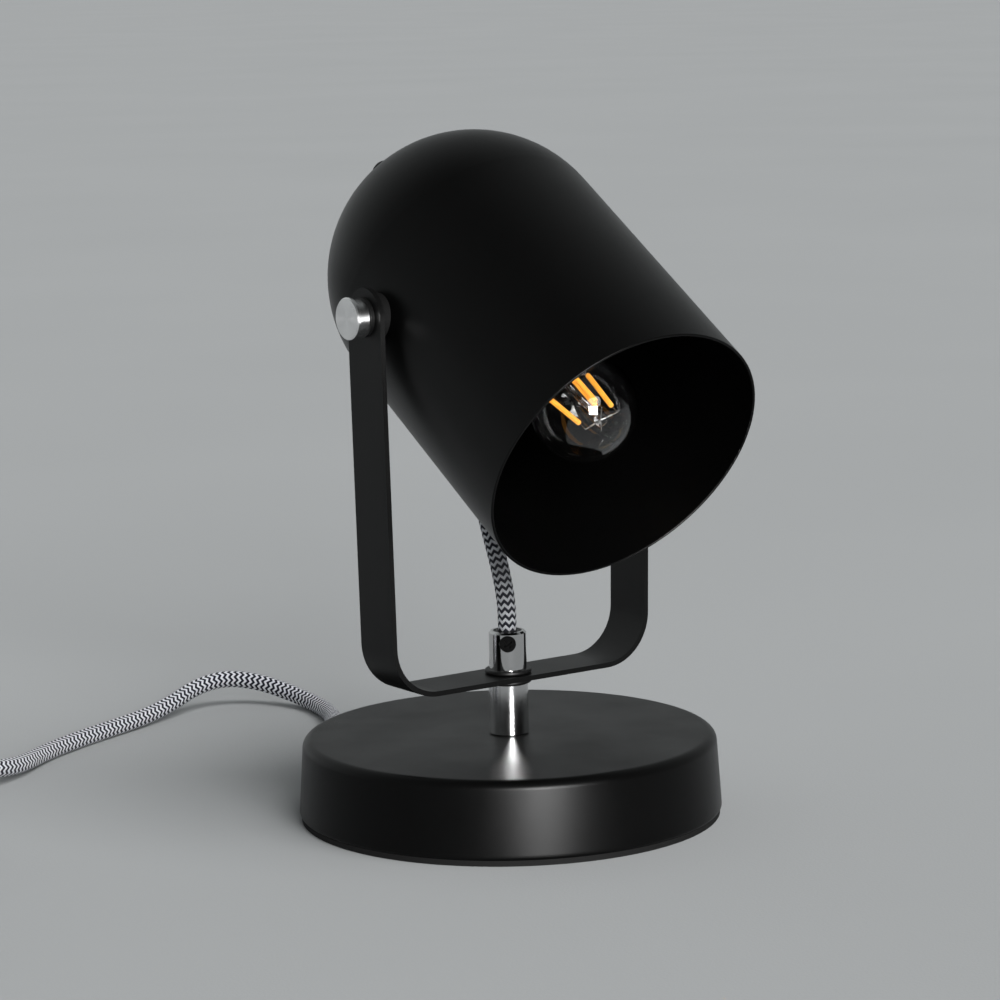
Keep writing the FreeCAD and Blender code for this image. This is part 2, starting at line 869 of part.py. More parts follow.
def lampholder():
    """Moulded holder: a plain tail, a ribbed body and an open mouth for the cap."""
    tail = holder_tail_d / 2
    body = holder_d / 2
    front = holder_front
    profile = outline(
        (0, holder_z),
        (tail - 3, holder_z),
        ((tail - 0.9, holder_z + 0.9), (tail, holder_z + 3)),
        (tail, holder_z + 20),
        (body, holder_z + 23),
        (body, front - 1),
        (body - 1, front),
        (0, front),
    )
    shell = turned(profile)
    pocket = disc(body - holder_wall, holder_l - 24 - 3, holder_z + 27)
    shell = shell.cut(pocket)
    shell = shell.cut(disc(nipple_d / 2 + RUNNING, 8, holder_z - 1))
    groove = disc(0.6, 20, holder_z + 26).translate(Vector(body + 0.1, 0, 0))
    cuts = [groove.copy().rotate(Vector(), Z_AXIS, 360 / holder_ribs * i) for i in range(holder_ribs)]
    return shell.cut(Part.makeCompound(cuts))


def contact_sleeve():
    """Screw shell that takes the bulb's cap, with a flange that stands in the holder."""
    inner = cap_d / 2 + RUNNING
    outer = inner + sleeve_wall
    z = holder_front - 2 - sleeve_l
    sleeve = ring(outer, inner, sleeve_l, z)
    flange = ring(holder_d / 2 - holder_wall - 0.1, inner, 2.0, z + 4)
    return sleeve.fuse(flange)


# Bulb


def globe_profile(radius, neck, z_end):
    """Half section of a globe that blends into its neck, closed on the axis."""
    blend = neck_blend_r + (globe_r - radius)
    across = neck + blend
    drop = math.sqrt((radius + blend) ** 2 - across ** 2)
    blend_z = globe_reach - drop
    share = radius / (radius + blend)
    meet = (across * share, globe_reach - drop * share)
    half = math.atan2(drop, across) / 2
    bend = (across - blend * math.cos(half), blend_z + blend * math.sin(half))
    low = math.atan2(-drop, across)
    middle = (low + math.pi / 2) / 2
    crown = (radius * math.cos(middle), globe_reach + radius * math.sin(middle))
    return outline(
        (0, z_end),
        (neck, z_end),
        (neck, blend_z),
        (bend, meet),
        (crown, (0, globe_reach + radius)),
    )


def bulb_glass():
    foot = cap_z + cap_l - 2.0
    outer = turned(globe_profile(globe_r, neck_d / 2, foot))
    inner = turned(globe_profile(globe_r - glass_wall, neck_d / 2 - glass_wall, foot - 1))
    return outer.cut(inner)


def bulb_cap():
    return ring(cap_d / 2, neck_d / 2 + 0.05, cap_l, cap_z).fuse(ring(cap_d / 2, cap_d / 2 - 2.4, 1.0, cap_z))


def cap_insulator():
    r = cap_d / 2 - 2.4
    return Part.makeCone(contact_d / 2 + 0.6, r, insulator_l, Vector(0, 0, cap_z - insulator_l))


def cap_contact():
    z = bulb_rear
    contact = disc(contact_d / 2, contact_l, z)
    return contact.makeFillet(1.0, [bottom_edge(contact)])


def stem_foot_z():
    return cap_z + cap_l - 1.0


def leaning(shape):
    """The stem bends a little to one side where its flare ends, and carries the cage with it."""
    return shape.rotate(Vector(0, 0, stem_foot_z() + stem_flare_l), Y_AXIS, stem_lean)


def bulb_stem():
    """Glass stem: a flare in the neck, a thin rod and a star near the front of the globe."""
    foot = stem_foot_z()
    rod = stem_d / 2
    flare = neck_d / 2 - glass_wall - 0.05
    neck = foot + stem_flare_l
    profile = outline(
        (0, foot),
        (flare, foot),
        ((rod + 1.0, foot + 0.4 * stem_flare_l), (rod, neck)),
        (0, neck),
    )
    upper = disc(rod, star_z() - neck + 1.0, neck - 1.0)
    upper = leaning(upper.fuse(Part.makeSphere(star_d / 2, Vector(0, 0, star_z()))))
    return turned(profile).fuse(upper).cut(wire_cage())


def tip_z():
    return globe_reach + filament_ahead


def star_z():
    return tip_z() + star_ahead


def filament_place(i):
    """Turn about the stem and distance of the tip: three rods on a ring, the last inside the middle one."""
    if i < 3:
        return filament_turn + 90 * i, filament_tip_ring
    return filament_turn + 90, filament_tip_ring - filament_d - filament_gap


def filament_ends(i):
    """Foot and tip of a rod before the stem leans; the rods draw together towards the front."""
    turn, across = filament_place(i)
    lean = math.radians(filament_lean)
    out = Vector(math.cos(math.radians(turn)), math.sin(math.radians(turn)), 0)
    tip = out * across + Vector(0, 0, tip_z())
    foot = tip + out * (math.sin(lean) * filament_l) - Vector(0, 0, math.cos(lean) * filament_l)
    return foot, tip


def filament(i):
    """One coated rod of the cage."""
    foot, tip = filament_ends(i)
    rod = disc(filament_d / 2, filament_l, 0)
    rod = rod.makeFillet(filament_d * 0.3, [top_edge(rod), bottom_edge(rod)])
    rod.Placement = FreeCAD.Placement(foot, FreeCAD.Rotation(Z_AXIS, tip - foot))
    return leaning(rod)


def bulb_wires():
    """The cage without the places of the rods that it holds."""
    return wire_cage().cut([filament(i) for i in range(filament_count)])


def wire_cage():
    """A wire up the stem into the star, with arms to the rods' feet and, over the front, arms with tails."""
    r = wire_d / 2
    star = Vector(0, 0, star_z())
    root = Vector(0, 0, stem_foot_z() + stem_flare_l + 2.0)
    arms = [rod_wire(root, star, r)]
    for i in range(filament_count):
        foot, tip = filament_ends(i)
        across = Vector(tip.x, tip.y, 0)
        knee = star + across + Vector(0, 0, arm_rise * across.Length / filament_tip_ring)
        arms.append(rod_wire(root, foot, r))
        arms.append(rod_wire(tip, knee, tail_d / 2))
        if i < 3:
            arms.append(rod_wire(star, knee, r))
            arms.append(Part.makeSphere(r, knee))
    turn = math.radians(filament_turn - 90)
    spare = Vector(math.cos(turn), math.sin(turn), 0) * (filament_tip_ring - filament_d)
    arms.append(rod_wire(star, star + spare + Vector(0, 0, arm_rise), tail_d / 2))
    return leaning(Part.makeSphere(r, star).fuse(arms))


def rod_wire(start, end, radius):
    return Part.makeCylinder(radius, (end - start).Length, start, end - start)


# Spare cord, switch and plug


def coil_pitch():
    return cord_d + coil_gap


def coil_state(turn):
    """Radius and height at a number of turns from the start, and how fast each changes per turn."""
    layer = coil_layer_turns
    climb = coil_climb_turns
    pitch = coil_pitch()
    inner = coil_outer_r - pitch * layer
    low = cord_r
    if turn <= layer:
        return coil_outer_r - pitch * turn, low, -pitch, 0.0
    if turn >= layer + climb:
        return inner + pitch * (turn - layer - climb), low + pitch, pitch, 0.0
    share = (turn - layer) / climb
    ease = share * share * (3 - 2 * share)
    rate = 6 * share * (1 - share) / climb
    bulge = share * (1 - share)
    radius = inner - pitch * climb * bulge
    return radius, low + pitch * ease, -pitch * (1 - 2 * share), pitch * rate


def coil_point(turn):
    """A point of the coil's middle line and its heading. It starts on the -X side and runs towards -Y."""
    radius, z, widen, rise = coil_state(turn)
    angle = math.pi + 2 * math.pi * turn
    out = Vector(math.cos(angle), math.sin(angle), 0)
    side = Vector(-math.sin(angle), math.cos(angle), 0)
    point = coil_middle + out * radius + Vector(0, 0, z)
    heading = side * (2 * math.pi * radius) + out * widen + Vector(0, 0, rise)
    return point, heading.normalize()


def biarc(start, start_heading, end, end_heading):
    """Two arcs that join two points with given headings."""
    span = end - start
    both = start_heading + end_heading
    a = 2 * (1 - start_heading.dot(end_heading))
    b = 2 * span.dot(both)
    c = -span.dot(span)
    reach = (-b + math.sqrt(b * b - 4 * a * c)) / (2 * a)
    one = start + start_heading * reach
    two = end - end_heading * reach
    join = (one + two) * 0.5
    return [heading_arc(start, start_heading, join), heading_arc(join, two - one, end)]


def heading_arc(start, heading, end):
    """Arc from start with a heading to end."""
    heading = Vector(heading).normalize()
    chord = end - start
    normal = heading.cross(chord).cross(heading).normalize()
    radius = chord.dot(chord) / (2 * chord.dot(normal))
    centre = start + normal * radius
    middle = centre + ((start - centre) + (end - centre)).normalize() * radius
    return Part.Arc(start, middle, end).toShape()


def cord_coil():
    """The put-away cord: it spirals in on the table, climbs a layer and spirals out again."""
    turns = coil_turns()
    steps = round(turns * 4)
    knots = [coil_point(turns * i / steps) for i in range(steps + 1)]
    first = knots[0][0]
    edges = [Part.LineSegment(coil_entry()[0], first).toShape()]
    for (a, a_heading), (b, b_heading) in zip(knots, knots[1:]):
        edges += biarc(a, a_heading, b, b_heading)
    edges.append(Part.LineSegment(knots[-1][0], coil_exit()[0]).toShape())
    print(f"cord_coil: least gap to itself {least_gap(edges):.2f} mm")
    return swept("cord_coil", edges, cord_r)


def coil_entry():
    """Where the coil's straight end begins, one diameter before its first turn."""
    first, heading = coil_point(0)
    heading = Vector(heading.x, heading.y, 0).normalize()
    return first - heading * cord_d, heading


def coil_exit():
    last, heading = coil_point(coil_turns())
    heading = Vector(heading.x, heading.y, 0).normalize()
    return last + heading * cord_d, heading


def coil_turns():
    return coil_layers * coil_layer_turns + coil_climb_turns


def least_gap(edges):
    """Least distance between parts of the tube that are more than three diameters apart along it."""
    path = Part.Wire(edges)
    points = path.discretize(Distance=4.0)
    apart = int(3 * cord_d / 4.0) + 1
    least = min(
        points[i].distanceToPoint(points[j])
        for i in range(len(points))
        for j in range(i + apart, len(points))
    )
    return least - cord_d


def switch_axis_z():
    """Height of the cord's sockets, on the seam between the halves."""
    return switch_half_h + switch_seam / 2


def switch_outline(grow=0.0):
    """Plan of the switch: straight ends, sides bowed out to the full width. It lies along -X."""
    half_end = switch_end_w / 2 + grow
    half = switch_w / 2 + grow
    near = switch_near.x + grow
    far = switch_near.x - switch_l - grow
    middle = (near + far) / 2
    y = switch_near.y
    a = Vector(near, y - half_end, 0)
    b = Vector(near, y + half_end, 0)
    c = Vector(far, y + half_end, 0)
    d = Vector(far, y - half_end, 0)
    edges = [
        Part.LineSegment(a, b).toShape(),
        Part.Arc(b, Vector(middle, y + half, 0), c).toShape(),
        Part.LineSegment(c, d).toShape(),
        Part.Arc(d, Vector(middle, y - half, 0), a).toShape(),
    ]
    return Part.Face(Part.Wire(edges))


def switch_half():
    """Lower half without its hollows. The upper half is the same, turned over."""
    half = switch_outline().extrude(Vector(0, 0, switch_half_h))
    return half.makeFillet(switch_edge_r, level_edges(half, 0))


def switch_hollows():
    """Both cord sockets, the rocker's pocket and the seats of its pins."""
    sockets = [cord_socket(0), cord_socket(1)]
    return rocker_pocket().fuse(sockets + [rocker_pins(RUNNING, LOOSE)])


def cord_socket(end):
    """Blind hole in an end face of the switch."""
    heading = X_AXIS * (1 - 2 * end)
    bottom = Vector(*switch_entry(end))
    return Part.makeCylinder(cord_r + RUNNING, switch_socket_l + 1, bottom, heading)


def switch_lower():
    return switch_half().cut(switch_hollows())


def switch_upper():
    turned_over = switch_half().mirror(Vector(0, 0, switch_axis_z()), Z_AXIS)
    return turned_over.cut(switch_hollows())


def level_edges(shape, z):
    """Edges that lie at a given height."""
    return [e for e in shape.Edges if abs(e.BoundBox.ZMin - z) < 1e-4 and abs(e.BoundBox.ZMax - z) < 1e-4]


def switch_middle():
    return Vector(switch_near.x - switch_l / 2, switch_near.y, 0)


def rocker_pocket():
    depth = rocker_depth + rocker_pin_drop + 2.0
    corner = switch_middle() + Vector(-rocker_l / 2 - LOOSE, -rocker_w / 2 - LOOSE, switch_top() - depth)
    return Part.makeBox(rocker_l + 2 * LOOSE, rocker_w + 2 * LOOSE, depth + 5, corner)


def rocker_pins(wider=0.0, longer=0.0):
    """The rocker's two pins as one bar across it."""
    reach = rocker_w / 2 + rocker_pin_l + longer
    start = switch_middle() + Vector(0, -reach, rocker_pin_z())
    return Part.makeCylinder(rocker_pin_d / 2 + wider, 2 * reach, start, Y_AXIS)


def switch_top():
    return 2 * switch_half_h + switch_seam


def rocker_pin_z():
    return switch_top() - rocker_pin_drop


def switch_rocker():
    """Rocker with a hollowed top and ends rounded about its pins, pressed down on its near side."""
    half = rocker_l / 2
    high = rocker_pin_drop + rocker_rise
    edge = math.sqrt(half ** 2 - high ** 2)
    profile = outline(
        (-edge, high),
        ((-half, 0), (-edge, -high)),
        (-4.0, -rocker_depth),
        (4.0, -rocker_depth),
        (edge, -high),
        ((half, 0), (edge, high)),
        ((0, rocker_pin_drop + 0.6), (-edge, high)),
    )
    rocker = profile.extrude(Vector(0, rocker_w, 0)).translate(Vector(0, -rocker_w / 2, 0))
    rocker = rocker.rotate(Vector(), Y_AXIS, rocker_tilt)
    return rocker.translate(switch_middle() + Vector(0, 0, rocker_pin_z())).fuse(rocker_pins())


def switch_entry(end):
    """Bottom of the cord's socket in an end of the switch: 0 is the end towards the lamp."""
    inset = switch_socket_l * (1 - 2 * end)
    return (switch_near.x - end * switch_l - inset, switch_near.y, switch_axis_z())


def switch_lead(end):
    """Point of the cord's route straight out of an end of the switch."""
    outside = switch_lead_l * (1 - 2 * end)
    return (switch_near.x - end * switch_l + outside, switch_near.y, switch_axis_z())


def plug_axis_z():
    return plug_t / 2


def plug_body():
    """Flat two-pin plug with a ribbed neck for the cord."""
    half = plug_w / 2
    waist = plug_neck_d / 2
    z = plug_axis_z()
    face = [
        (-half + 4, 0),
        (-half, 4),
        (-half, 11),
        (-waist - 2, plug_l),
        (waist + 2, plug_l),
        (half, 11),
        (half, 4),
        (half - 4, 0),
    ]
    points = [Vector(x, y, 0) for x, y in face]
    block = Part.Face(Part.makePolygon(points + points[:1])).extrude(Vector(0, 0, plug_t))
    block = block.makeFillet(2.5, level_edges(block, 0) + level_edges(block, plug_t))
    neck = Part.makeCone(waist, cord_r + 1.2, plug_neck_l, Vector(0, plug_l - 1, z), Y_AXIS)
    body = block.fuse(neck)
    for i in range(4):
        y = plug_l + 4 + 3.6 * i
        groove = Part.makeCylinder(waist + 2, 1.2, Vector(0, y, z), Y_AXIS)
        core = Part.makeCylinder(cord_r + 0.8, 1.2, Vector(0, y, z), Y_AXIS)
        body = body.cut(groove.cut(core))
    for side in (-1, 1):
        start = Vector(side * plug_pin_pitch / 2, -1, z)
        body = body.cut(Part.makeCylinder(plug_pin_root_d / 2, plug_pin_root_l + 1, start, Y_AXIS))
    return body.translate(plug_front())


def plug_front():
    return Vector(plug_rear.x, plug_rear.y - plug_l - plug_neck_l + 1, 0)


def plug_pin(side):
    """Pin with a moulded-in root, a sleeve and a bare end with a rounded tip."""
    bare = plug_pin_d / 2
    sleeve = plug_pin_sleeve_d / 2
    root = plug_pin_root_d / 2
    profile = outline(
        (0, -plug_pin_root_l),
        (root, -plug_pin_root_l),
        (root, 0),
        (sleeve, 0),
        (sleeve, plug_pin_l - plug_pin_bare),
        (bare, plug_pin_l - plug_pin_bare),
        (bare, plug_pin_l - bare),
        ((bare * math.sqrt(0.5), plug_pin_l - bare * (1 - math.sqrt(0.5))), (0, plug_pin_l)),
    )
    pin = turned(profile).rotate(Vector(), X_AXIS, 90)
    return pin.translate(plug_front() + Vector(side * plug_pin_pitch / 2, 0, plug_axis_z()))


def mains_cord():
    start = (0, bush_tip_y(), cord_exit_z)
    return cord("mains_cord", [start] + mains_way + [switch_lead(0), switch_entry(0)])


def switch_cord():
    end, heading = coil_entry()
    points = [switch_entry(1), switch_lead(1)] + switch_way
    return cord("switch_cord", points + [tuple(end - heading * coil_run), tuple(end)])


def plug_cord():
    start, heading = coil_exit()
    end = (plug_rear.x, plug_rear.y, plug_axis_z())
    return cord("plug_cord", [tuple(start), tuple(start + heading * coil_run)] + plug_way + [end])


def export(name, shape):
    assert shape.isValid(), name
    shape.exportStep(f"parts/{name}.step")


def build():
    os.makedirs("parts", exist_ok=True)
    export("foot_pad", foot_pad())
    export("base_cover", base_cover())
    export("base_plate", base_plate())
    for i, place in enumerate(plate_screw_places(), 1):
        export(f"plate_screw_{i}", plate_screw().translate(place))
    export("base_weight", base_weight())
    export("nipple", nipple())
    export("hex_nut", hex_nut())
    export("post", post())
    export("lower_washer", swivel_washer(lower_washer_t, lower_washer_z))
    export("upper_washer", swivel_washer(upper_washer_t, upper_washer_z))
    export("cord_grip", cord_grip())
    export("grip_bush", grip_bush())
    export("grub_screw", grub_screw())
    export("inner_lead", inner_lead())
    export("cord_bush", cord_bush())
    export("cord_clamp", cord_clamp())
    for side, name in ((-1, "left"), (1, "right")):
        export(f"clamp_screw_{name}", clamp_screw(side))
        export(f"pivot_spacer_{name}", in_head(pivot_spacer(side)))
        export(f"pivot_nut_{name}", in_head(pivot_nut(side)))
        export(f"knob_{name}", knob(side))
        export(f"knob_washer_{name}", knob_washer(side))
        export(f"bracket_rivet_{name}", in_head(bracket_rivet(-side)))
        export(f"plug_pin_{name}", plug_pin(side))
    export("yoke", yoke())
    export("riser_cord", riser_cord())
    export("shade", in_head(shade()))
    export("shade_grommet", in_head(shade_grommet()))
    export("head_lead", in_head(head_lead()))
    export("holder_bracket", in_head(holder_bracket()))
    export("holder_nipple", in_head(holder_nipple()))
    export("holder_locknut", in_head(holder_locknut()))
    export("lampholder", in_head(lampholder()))
    export("contact_sleeve", in_head(contact_sleeve()))
    export("bulb_glass", in_head(bulb_glass()))
    export("bulb_cap", in_head(bulb_cap()))
    export("cap_insulator", in_head(cap_insulator()))
    export("cap_contact", in_head(cap_contact()))
    export("bulb_stem", in_head(bulb_stem()))
    export("bulb_wires", in_head(bulb_wires()))
    for i in range(filament_count):
        export(f"filament_{i + 1}", in_head(filament(i)))
    export("mains_cord", mains_cord())
    export("switch_cord", switch_cord())
    export("plug_cord", plug_cord())
    export("cord_coil", cord_coil())
    export("switch_lower", switch_lower())
    export("switch_upper", switch_upper())
    export("switch_rocker", switch_rocker())
    export("plug_body", plug_body())


build()
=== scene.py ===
import bpy
import bmesh
import math
from mathutils import Matrix, Vector

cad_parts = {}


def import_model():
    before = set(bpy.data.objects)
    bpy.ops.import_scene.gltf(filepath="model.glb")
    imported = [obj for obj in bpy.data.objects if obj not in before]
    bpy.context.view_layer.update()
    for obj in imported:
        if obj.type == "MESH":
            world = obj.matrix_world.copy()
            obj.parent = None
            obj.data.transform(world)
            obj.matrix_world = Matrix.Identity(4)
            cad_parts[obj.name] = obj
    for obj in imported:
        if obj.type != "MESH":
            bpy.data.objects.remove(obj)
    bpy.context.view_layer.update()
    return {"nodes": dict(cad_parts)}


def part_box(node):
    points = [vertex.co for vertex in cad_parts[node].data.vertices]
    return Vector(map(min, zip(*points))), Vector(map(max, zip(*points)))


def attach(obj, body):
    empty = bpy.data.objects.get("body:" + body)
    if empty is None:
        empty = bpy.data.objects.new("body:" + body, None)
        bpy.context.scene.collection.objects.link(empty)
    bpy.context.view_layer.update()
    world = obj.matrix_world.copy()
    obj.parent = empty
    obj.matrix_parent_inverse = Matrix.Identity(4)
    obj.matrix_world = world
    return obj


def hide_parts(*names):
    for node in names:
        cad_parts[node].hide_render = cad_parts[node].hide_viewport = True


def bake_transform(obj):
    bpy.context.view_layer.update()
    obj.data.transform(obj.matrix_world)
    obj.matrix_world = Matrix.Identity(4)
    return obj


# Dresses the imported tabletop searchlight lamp. Metres, in the frame of the CAD model.

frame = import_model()
nodes = frame["nodes"]


# Node helpers


class Graph:
    """Short hand for building a material's node tree."""

    def __init__(self, name):
        self.material = bpy.data.materials.new(name)
        self.material.use_nodes = True
        self.tree = self.material.node_tree
        self.tree.nodes.clear()
        self.out = self.add("ShaderNodeOutputMaterial")
        self.shader = self.add("ShaderNodeBsdfPrincipled")
        self.link(self.shader.outputs["BSDF"], self.out.inputs["Surface"])

    def add(self, kind, **settings):
        node = self.tree.nodes.new(kind)
        for key, value in settings.items():
            setattr(node, key, value)
        return node

    def link(self, source, target):
        self.tree.links.new(source, target)

    def put(self, target, value):
        """Links a socket, or sets a plain value."""
        if isinstance(value, bpy.types.NodeSocket):
            self.link(value, target)
        else:
            target.default_value = value

    def math(self, operation, a, b=None):
        node = self.add("ShaderNodeMath", operation=operation)
        self.put(node.inputs[0], a)
        if b is not None:
            self.put(node.inputs[1], b)
        return node.outputs[0]

    def spread(self, value, low, high, to_low, to_high):
        """Maps low..high to to_low..to_high, clamped."""
        node = self.add("ShaderNodeMapRange", clamp=True)
        for name, number in (("From Min", low), ("From Max", high), ("To Min", to_low), ("To Max", to_high)):
            self.put(node.inputs[name], number)
        self.put(node.inputs["Value"], value)
        return node.outputs["Result"]

    def mix(self, factor, a, b):
        node = self.add("ShaderNodeMix", data_type="RGBA")
        self.put(node.inputs["Factor"], factor)
        self.put(node.inputs["A"], a)
        self.put(node.inputs["B"], b)
        return node.outputs["Result"]

    def noise(self, scale, detail=3.0, roughness=0.5):
        """Noise that is fixed to the piece."""
        place = self.add("ShaderNodeTexCoord")
        node = self.add("ShaderNodeTexNoise")
        node.inputs["Scale"].default_value = scale
        node.inputs["Detail"].default_value = detail
        node.inputs["Roughness"].default_value = roughness
        self.link(place.outputs["Object"], node.inputs["Vector"])
        return node.outputs["Fac"]

    def bump(self, height, distance, strength=1.0):
        node = self.add("ShaderNodeBump")
        node.inputs["Distance"].default_value = distance
        node.inputs["Strength"].default_value = strength
        self.put(node.inputs["Height"], height)
        return node.outputs["Normal"]

    def set(self, **values):
        """Sets or links the main shader's sockets, named with underscores."""
        for key, value in values.items():
            self.put(self.shader.inputs[key.replace("_", " ")], value)


def grey(value):
    return (value, value, value, 1.0)


def scaled(tone, factor):
    return (*(channel * factor for channel in tone), 1.0)


# Materials


def powder_coat(name, dark, light, smoothest, roughest, gloss, patch_scale=38, patch=0.035):
    """Fine-grained black paint on metal, slightly uneven in gloss."""
    g = Graph(name)
    fine = g.noise(5200, detail=2.0, roughness=0.6)
    wide = g.noise(patch_scale, detail=4.0)
    patchy = g.spread(wide, 0.3, 0.7, -patch, patch)
    g.set(
        Base_Color=g.mix(fine, grey(dark), grey(light)),
        Roughness=g.math("ADD", g.spread(fine, 0.2, 0.8, smoothest, roughest), patchy),
        Specular_IOR_Level=gloss,
        Normal=g.bump(fine, 0.00003),
    )
    return g.material


def chrome(name, rough, tone, spread=0.0, axis="Z", smears=0.06):
    """Bright plated metal with faint smears. Turning marks round its axis spread its reflections along it."""
    g = Graph(name)
    smear = g.noise(160, detail=5.0, roughness=0.65)
    g.set(
        Base_Color=g.mix(smear, grey(tone - 0.04), grey(tone + 0.03)),
        Metallic=1.0,
        Roughness=g.spread(smear, 0.25, 0.75, rough, rough + smears),
    )
    if spread:
        around = g.add("ShaderNodeTangent", direction_type="RADIAL", axis=axis)
        g.set(Anisotropic=spread, Anisotropic_Rotation=0.25, Tangent=around.outputs["Tangent"])
    return g.material


def plain_metal(name, tone, rough):
    """Bare metal with slightly darker, smoother spots."""
    g = Graph(name)
    spot = g.noise(420, detail=4.0)
    g.set(
        Base_Color=g.mix(spot, scaled(tone, 0.86), scaled(tone, 1.0)),
        Metallic=1.0,
        Roughness=g.spread(spot, 0.25, 0.75, rough - 0.05, rough + 0.08),
        Normal=g.bump(spot, 0.00002),
    )
    return g.material


def cast_iron():
    g = Graph("cast_iron_paint")
    grain = g.noise(700, detail=6.0, roughness=0.7)
    g.set(
        Base_Color=g.mix(grain, (0.02, 0.02, 0.021, 1), (0.055, 0.053, 0.05, 1)),
        Metallic=0.4,
        Roughness=g.spread(grain, 0.2, 0.8, 0.6, 0.85),
        Normal=g.bump(grain, 0.00025),
    )
    return g.material


def plastic(name, tone, rough):
    """Moulded plastic with a fine grain."""
    g = Graph(name)
    fine = g.noise(2600, detail=3.0)
    wide = g.noise(90, detail=3.0)
    g.set(
        Base_Color=g.mix(wide, scaled(tone, 0.8), scaled(tone, 1.0)),
        Roughness=g.spread(fine, 0.25, 0.75, rough - 0.04, rough + 0.06),
        Specular_IOR_Level=0.25,
        Normal=g.bump(fine, 0.00002),
    )
    return g.material


def rubber(name, tone=(0.006, 0.006, 0.006)):
    """Dull rubber or fibre with a trace of dust."""
    g = Graph(name)
    grain = g.noise(1500, detail=5.0, roughness=0.7)
    dust = g.noise(60, detail=5.0)
    base = g.mix(grain, scaled(tone, 0.7), scaled(tone, 1.0))
    g.set(
        Base_Color=g.mix(g.spread(dust, 0.55, 0.8, 0.0, 0.06), base, grey(0.08)),
        Roughness=g.spread(grain, 0.2, 0.8, 0.7, 0.9),
        Specular_IOR_Level=0.15,
        Normal=g.bump(grain, 0.00006),
    )
    return g.material


def clear_glass():
    """Blown glass, very slightly wavy."""
    g = Graph("bulb_clear")
    wave = g.noise(35, detail=2.0)
    g.set(
        Base_Color=(1.0, 1.0, 1.0, 1.0),
        Transmission_Weight=1.0,
        Roughness=0.0,
        IOR=1.46,
        Normal=g.bump(wave, 0.0002, 0.05),
    )
    return g.material


def filament_coat_painted_glow():
    """Grainy amber coating of a filament rod, with a faint painted glow standing in for the light that falls
    on the unlit rods.
    """
    g = Graph("filament_coat_painted_glow")
    grain = g.noise(3200, detail=4.0, roughness=0.7)
    g.set(
        Base_Color=g.mix(grain, (0.85, 0.30, 0.02, 1), (1.0, 0.50, 0.07, 1)),
        Roughness=0.55,
        # Painted glow: the rods are unlit, and this weak emission stands in for light falling on them
        Emission_Color=(1.0, 0.40, 0.045, 1),
        Emission_Strength=0.35,
        Normal=g.bump(grain, 0.00005),
    )
    return g.material


ZIGZAGS = 8
YARNS_PER_BAND = 4
BAND_BLUR = 0.06


def braid_bands(g, slanted):
    """1 on the white bands of the weave and 0 on the dark ones, with a soft edge between them."""
    band = g.math("FRACT", slanted)
    rise = g.spread(band, 0.5 - BAND_BLUR, 0.5 + BAND_BLUR, 0.0, 1.0)
    fall = g.spread(band, 1.0 - BAND_BLUR, 1.0, 1.0, 0.0)
    return g.math("MULTIPLY", rise, fall)


def braid_yarn(g, around, slanted):
    """Height of the single yarns, 0 in the grooves between them."""
    across = g.math("PINGPONG", g.math("MULTIPLY", around, ZIGZAGS * YARNS_PER_BAND), 0.5)
    along = g.math("PINGPONG", g.math("MULTIPLY", slanted, YARNS_PER_BAND), 0.5)
    return g.math("MULTIPLY", g.math("SQRT", across), g.math("SQRT", along))


def braid():
    """Zigzag weave of dark and white yarn, with painted shade darkening the grooves between the yarns. U runs
    along the cord in stitches, V once round it.
    """
    g = Graph("cord_braid")
    uv = g.add("ShaderNodeUVMap", uv_map="braid")
    parts = g.add("ShaderNodeSeparateXYZ")
    g.link(uv.outputs["UV"], parts.inputs["Vector"])
    along, around = parts.outputs["X"], parts.outputs["Y"]
    fold = g.math("PINGPONG", g.math("MULTIPLY", around, ZIGZAGS), 0.5)
    slanted = g.math("ADD", along, fold)
    white = braid_bands(g, slanted)
    yarn = braid_yarn(g, around, slanted)
    fibre = g.noise(5200, detail=3.0, roughness=0.7)
    dark = g.mix(fibre, (0.002, 0.0025, 0.007, 1), (0.010, 0.012, 0.03, 1))
    light = g.mix(fibre, (0.66, 0.67, 0.72, 1), (0.93, 0.94, 0.97, 1))
    colour = g.mix(white, dark, light)
    # Painted shade: the grooves between the yarns are darkened towards near black
    painted_groove_shade = g.spread(yarn, 0.0, 0.18, 0.3, 0.0)
    height = g.math("ADD", yarn, g.math("MULTIPLY", fibre, 0.12))
    g.set(
        Base_Color=g.mix(painted_groove_shade, colour, grey(0.01)),
        Roughness=0.82,
        Specular_IOR_Level=0.2,
        Sheen_Weight=0.08,
        Sheen_Roughness=0.4,
        Normal=g.bump(height, 0.00028),
    )
    return g.material


# Routes of the cords

CORD_D = 0.0065

# From the grip up to the shade, (y, z) in the plane x = 0
RISER = [
    (0.0, 0.066),
    (0.0, 0.0725),
    (0.0012, 0.080),
    (0.0044, 0.0895),
    (0.0090, 0.0998),
    (0.0132, 0.110),
    (0.0163, 0.1195),
    (0.0181, 0.1306),
]
MAINS = [
    (0.0, 0.0967, 0.0086),
    (0.0, 0.1085, 0.0086),
    (0.0022, 0.1205, 0.0068),
    (0.0076, 0.1315, 0.0044),
    (0.0152, 0.1420, 0.0033),
    (0.0235, 0.1535, 0.00325),
    (0.0300, 0.1675, 0.00325),
    (0.0338, 0.1840, 0.0033),
    (0.0318, 0.1990, 0.0054),
    (0.0244, 0.2112, 0.0090),
    (0.0122, 0.2180, 0.0112),
    (-0.0022, 0.2176, 0.0092),
    (-0.0155, 0.2122, 0.0058),
    (-0.0305, 0.2060, 0.0037),
    (-0.0490, 0.1985, 0.00325),
    (-0.0710, 0.1890, 0.00325),
    (-0.0930, 0.1770, 0.00325),
    (-0.1145, 0.1580, 0.0046),
    (-0.1345, 0.1500, 0.00855),
    (-0.1540, 0.1500, 0.00855),
]
